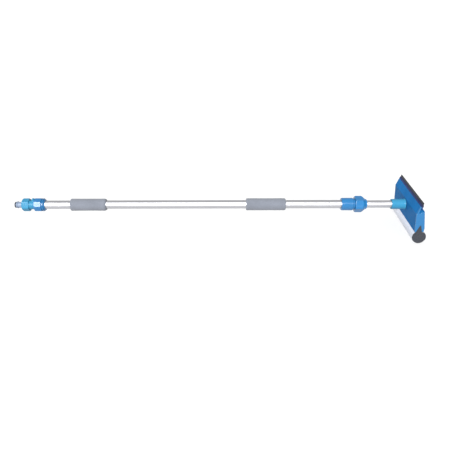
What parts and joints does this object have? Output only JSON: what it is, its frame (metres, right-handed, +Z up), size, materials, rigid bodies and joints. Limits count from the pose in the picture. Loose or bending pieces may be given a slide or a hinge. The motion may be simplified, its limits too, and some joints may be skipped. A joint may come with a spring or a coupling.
{
  "type": "telescopic window squeegee",
  "caption": "Telescopic water-fed window squeegee: hose plug with shut-off valve, aluminium pole with foam grips and twist lock, head with rubber blade and sleeved sponge.",
  "frame": {"origin": "below the middle of the object's box, level with the underside of the sponge; the pole's axis is 79.5 mm above it", "axes": "+X along the pole from the hose plug to the head, +Z up on the blade's side, +Y across the head"},
  "size_m": [1.2415, 0.206, 0.1338],
  "materials": {
    "cyan_plastic": "glossy moulded",
    "blue_plastic": "glossy moulded",
    "navy_plastic": "satin moulded",
    "black_rubber": "smooth matt",
    "pole_aluminium": "satin anodised",
    "grip_foam": "closed-cell foam, matt",
    "sponge_foam": "open-cell foam, matt",
    "sleeve_cloth": "terry microfibre",
    "grey_plastic": "glossy moulded",
    "white_plastic": "satin moulded",
    "screw_steel": "zinc plated"
  },
  "bodies": {
    "pole": {"valve_seat": "black_rubber", "valve_body": "blue_plastic", "spigot_o_ring": "black_rubber", "collar_nut": "blue_plastic", "tube_collar": "blue_plastic", "outer_tube": "pole_aluminium", "lower_grip": "grip_foam", "upper_grip": "grip_foam", "lock_body": "blue_plastic", "lock_seal": "black_rubber", "lock_collet": "white_plastic"},
    "valve_inlet": {"valve_ring": "cyan_plastic", "valve_o_ring": "black_rubber", "valve_disc": "white_plastic", "hose_plug": "grey_plastic", "plug_o_ring": "black_rubber", "union_washer": "black_rubber"},
    "union": {"union_nut": "cyan_plastic"},
    "lock": {"lock_nut": "blue_plastic"},
    "carriage": {"slide_bush": "white_plastic", "bush_o_ring_1": "black_rubber", "bush_o_ring_2": "black_rubber"},
    "mast": {"inner_tube": "pole_aluminium", "neck_socket": "cyan_plastic", "neck_washer": "black_rubber", "neck_o_ring": "black_rubber", "neck_screw": "screw_steel", "head_housing": "blue_plastic", "spray_cover": "blue_plastic", "near_end_cap": "blue_plastic", "far_end_cap": "blue_plastic", "blade_holder": "navy_plastic", "blade": "black_rubber", "sponge_foam": "sponge_foam", "sponge_sleeve": "sleeve_cloth", "sponge_rod": "white_plastic"}
  },
  "joints": [
    {"name": "telescope", "type": "slide", "parent": "pole", "child": "carriage", "axis": [1, 0, 0], "range_m": [-0.07, 0.7]},
    {"name": "head_turn", "type": "hinge", "parent": "carriage", "child": "mast", "pos_m": [0, 0, 0.0795], "axis": [1, 0, 0], "continuous": true},
    {"name": "lock_nut_turn", "type": "hinge", "parent": "pole", "child": "lock", "pos_m": [0.4418, 0, 0.0795], "axis": [1, 0, 0], "range_deg": [0, 180]},
    {"name": "valve_turn", "type": "hinge", "parent": "pole", "child": "valve_inlet", "pos_m": [-0.5588, 0, 0.0795], "axis": [1, 0, 0], "range_deg": [0, 90]},
    {"name": "union_nut_turn", "type": "hinge", "parent": "valve_inlet", "child": "union", "pos_m": [-0.5858, 0, 0.0795], "axis": [1, 0, 0], "continuous": true}
  ]
}
